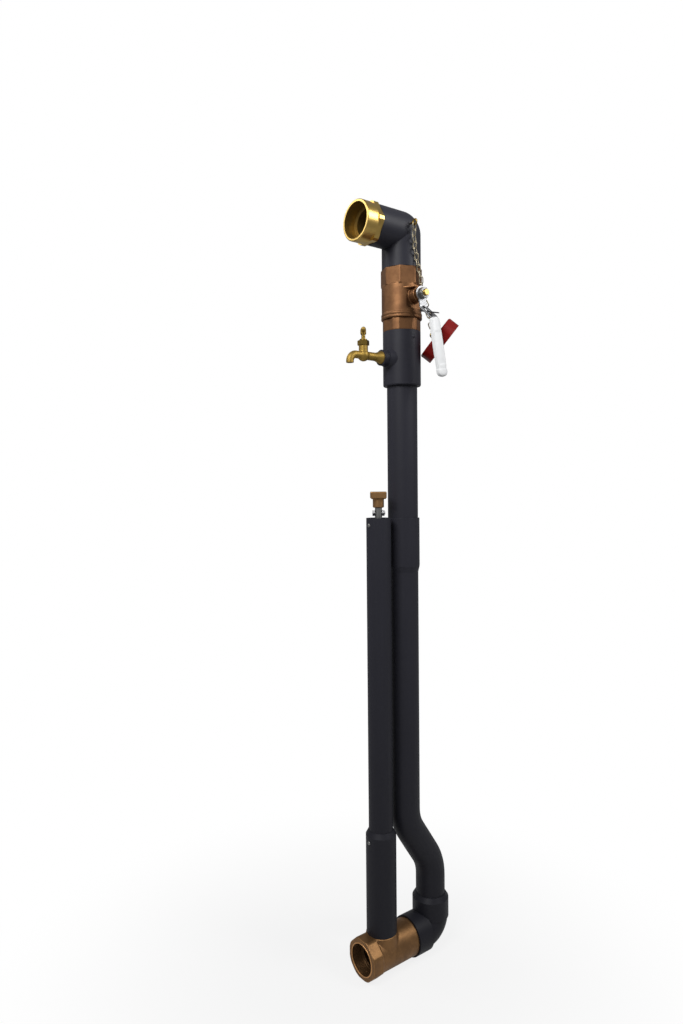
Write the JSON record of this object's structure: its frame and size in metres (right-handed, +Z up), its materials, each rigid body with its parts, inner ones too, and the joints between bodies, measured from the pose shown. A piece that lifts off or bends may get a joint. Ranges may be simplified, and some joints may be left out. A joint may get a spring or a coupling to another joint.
{
  "type": "sampling hydrant",
  "caption": "self-draining sampling hydrant: bronze foot valve with rod in a casing, plastic riser, sampling tee with tap, lever ball valve, brass nozzle, chained cap",
  "frame": {"origin": "centre of the round inlet mouth at the foot of the hydrant, in the plane of its end face", "axes": "+Z is up along the riser and the casing; the inlet mouth and the outlet nozzle face -Y; the ball valve's stem points to +X"},
  "size_m": [0.1409, 0.2469, 1.5059],
  "materials": {
    "bronze_casting": "cast bronze, dull and brown",
    "bronze_turned": "turned bronze, slightly dull",
    "brass": "bright yellow brass",
    "steel": "plain steel",
    "black_plate": "black coated steel",
    "grey_pipe_plastic": "dark grey rigid plastic, soft sheen",
    "white_seal_plastic": "white low friction plastic",
    "chrome_ball": "chrome plated",
    "white_vinyl": "white soft vinyl",
    "red_cap": "dark red paint",
    "black_rubber": "black rubber"
  },
  "bodies": {
    "hydrant": {"foot_valve_body": "bronze_casting", "valve_seat_ring": "bronze_turned", "stem_guide": "bronze_turned", "rod_seals": "black_rubber", "lower_casing_sleeve": "grey_pipe_plastic", "upper_casing_pipe": "grey_pipe_plastic", "casing_set_screws": "steel", "casing_guide": "grey_pipe_plastic", "lower_elbow": "grey_pipe_plastic", "offset_riser_pipe": "grey_pipe_plastic", "upper_riser_pipe": "grey_pipe_plastic", "sampling_tee": "grey_pipe_plastic", "tap_bushing": "grey_pipe_plastic", "tap_body": "brass", "tap_packing_nut": "brass", "valve_nipples": "grey_pipe_plastic", "valve_end_piece": "bronze_casting", "ball_valve_body": "bronze_casting", "ball_seats": "white_seal_plastic", "stem_packing": "white_seal_plastic", "packing_gland": "bronze_turned", "upper_elbow": "grey_pipe_plastic", "nozzle_adaptor": "brass", "chain_eye": "brass"},
    "plunger": {"plunger": "bronze_turned", "plunger_face": "black_rubber", "plunger_face_nut": "bronze_turned", "swivel_pins": "steel"},
    "rod": {"operating_rod": "steel", "operating_nut": "bronze_turned", "stop_bolt": "steel"},
    "tap_jumper": {"tap_jumper": "brass", "tap_washer": "black_rubber"},
    "tap_spindle": {"tap_stem": "brass", "tap_handle": "brass"},
    "valve_core": {"valve_ball": "chrome_ball", "valve_stem": "brass", "valve_lever": "steel", "lever_grip": "white_vinyl", "lever_nut": "steel"},
    "lock": {"lock_slide": "black_plate"},
    "chain": {"cap_chain": "steel"},
    "cap": {"outlet_cap": "red_cap", "cap_eye": "brass", "cap_gasket": "black_rubber"}
  },
  "joints": [
    {"name": "plunger_lift", "type": "slide", "parent": "hydrant", "child": "plunger", "axis": [0, 0, 1], "range_m": [0, 0.012]},
    {"name": "rod_turn", "type": "hinge", "parent": "plunger", "child": "rod", "pos_m": [0, 0.052, 0.87], "axis": [0, 0, 1], "range_deg": [0, 1080]},
    {"name": "jumper_lift", "type": "slide", "parent": "hydrant", "child": "tap_jumper", "axis": [0, 0, 1], "range_m": [0, 0.003]},
    {"name": "tap_turn", "type": "hinge", "parent": "tap_jumper", "child": "tap_spindle", "pos_m": [0, 0.0175, 1.21], "axis": [0, 0, 1], "range_deg": [0, 540]},
    {"name": "valve_turn", "type": "hinge", "parent": "hydrant", "child": "valve_core", "pos_m": [0, 0.1165, 1.2945], "axis": [-1, 0, 0], "range_deg": [0, 90]},
    {"name": "lock_slide", "type": "slide", "parent": "valve_core", "child": "lock", "axis": [0, -0.1392, 0.9903], "range_m": [0, 0.007]},
    {"name": "chain_swing", "type": "hinge", "parent": "hydrant", "child": "chain", "pos_m": [0.0498, 0.1075, 1.427], "axis": [1, 0, 0], "range_deg": [0, 60]},
    {"name": "cap_swing", "type": "hinge", "parent": "chain", "child": "cap", "pos_m": [0.0321, 0.1697, 1.2262], "axis": [0.7997, -0.6004, 0], "range_deg": [0, 40]}
  ],
  "couplings": [
    {"joint": "rod_turn", "follows": "plunger_lift", "rad_per_m": 1570.8},
    {"joint": "jumper_lift", "follows": "tap_turn", "m_per_rad": 0.000318}
  ]
}
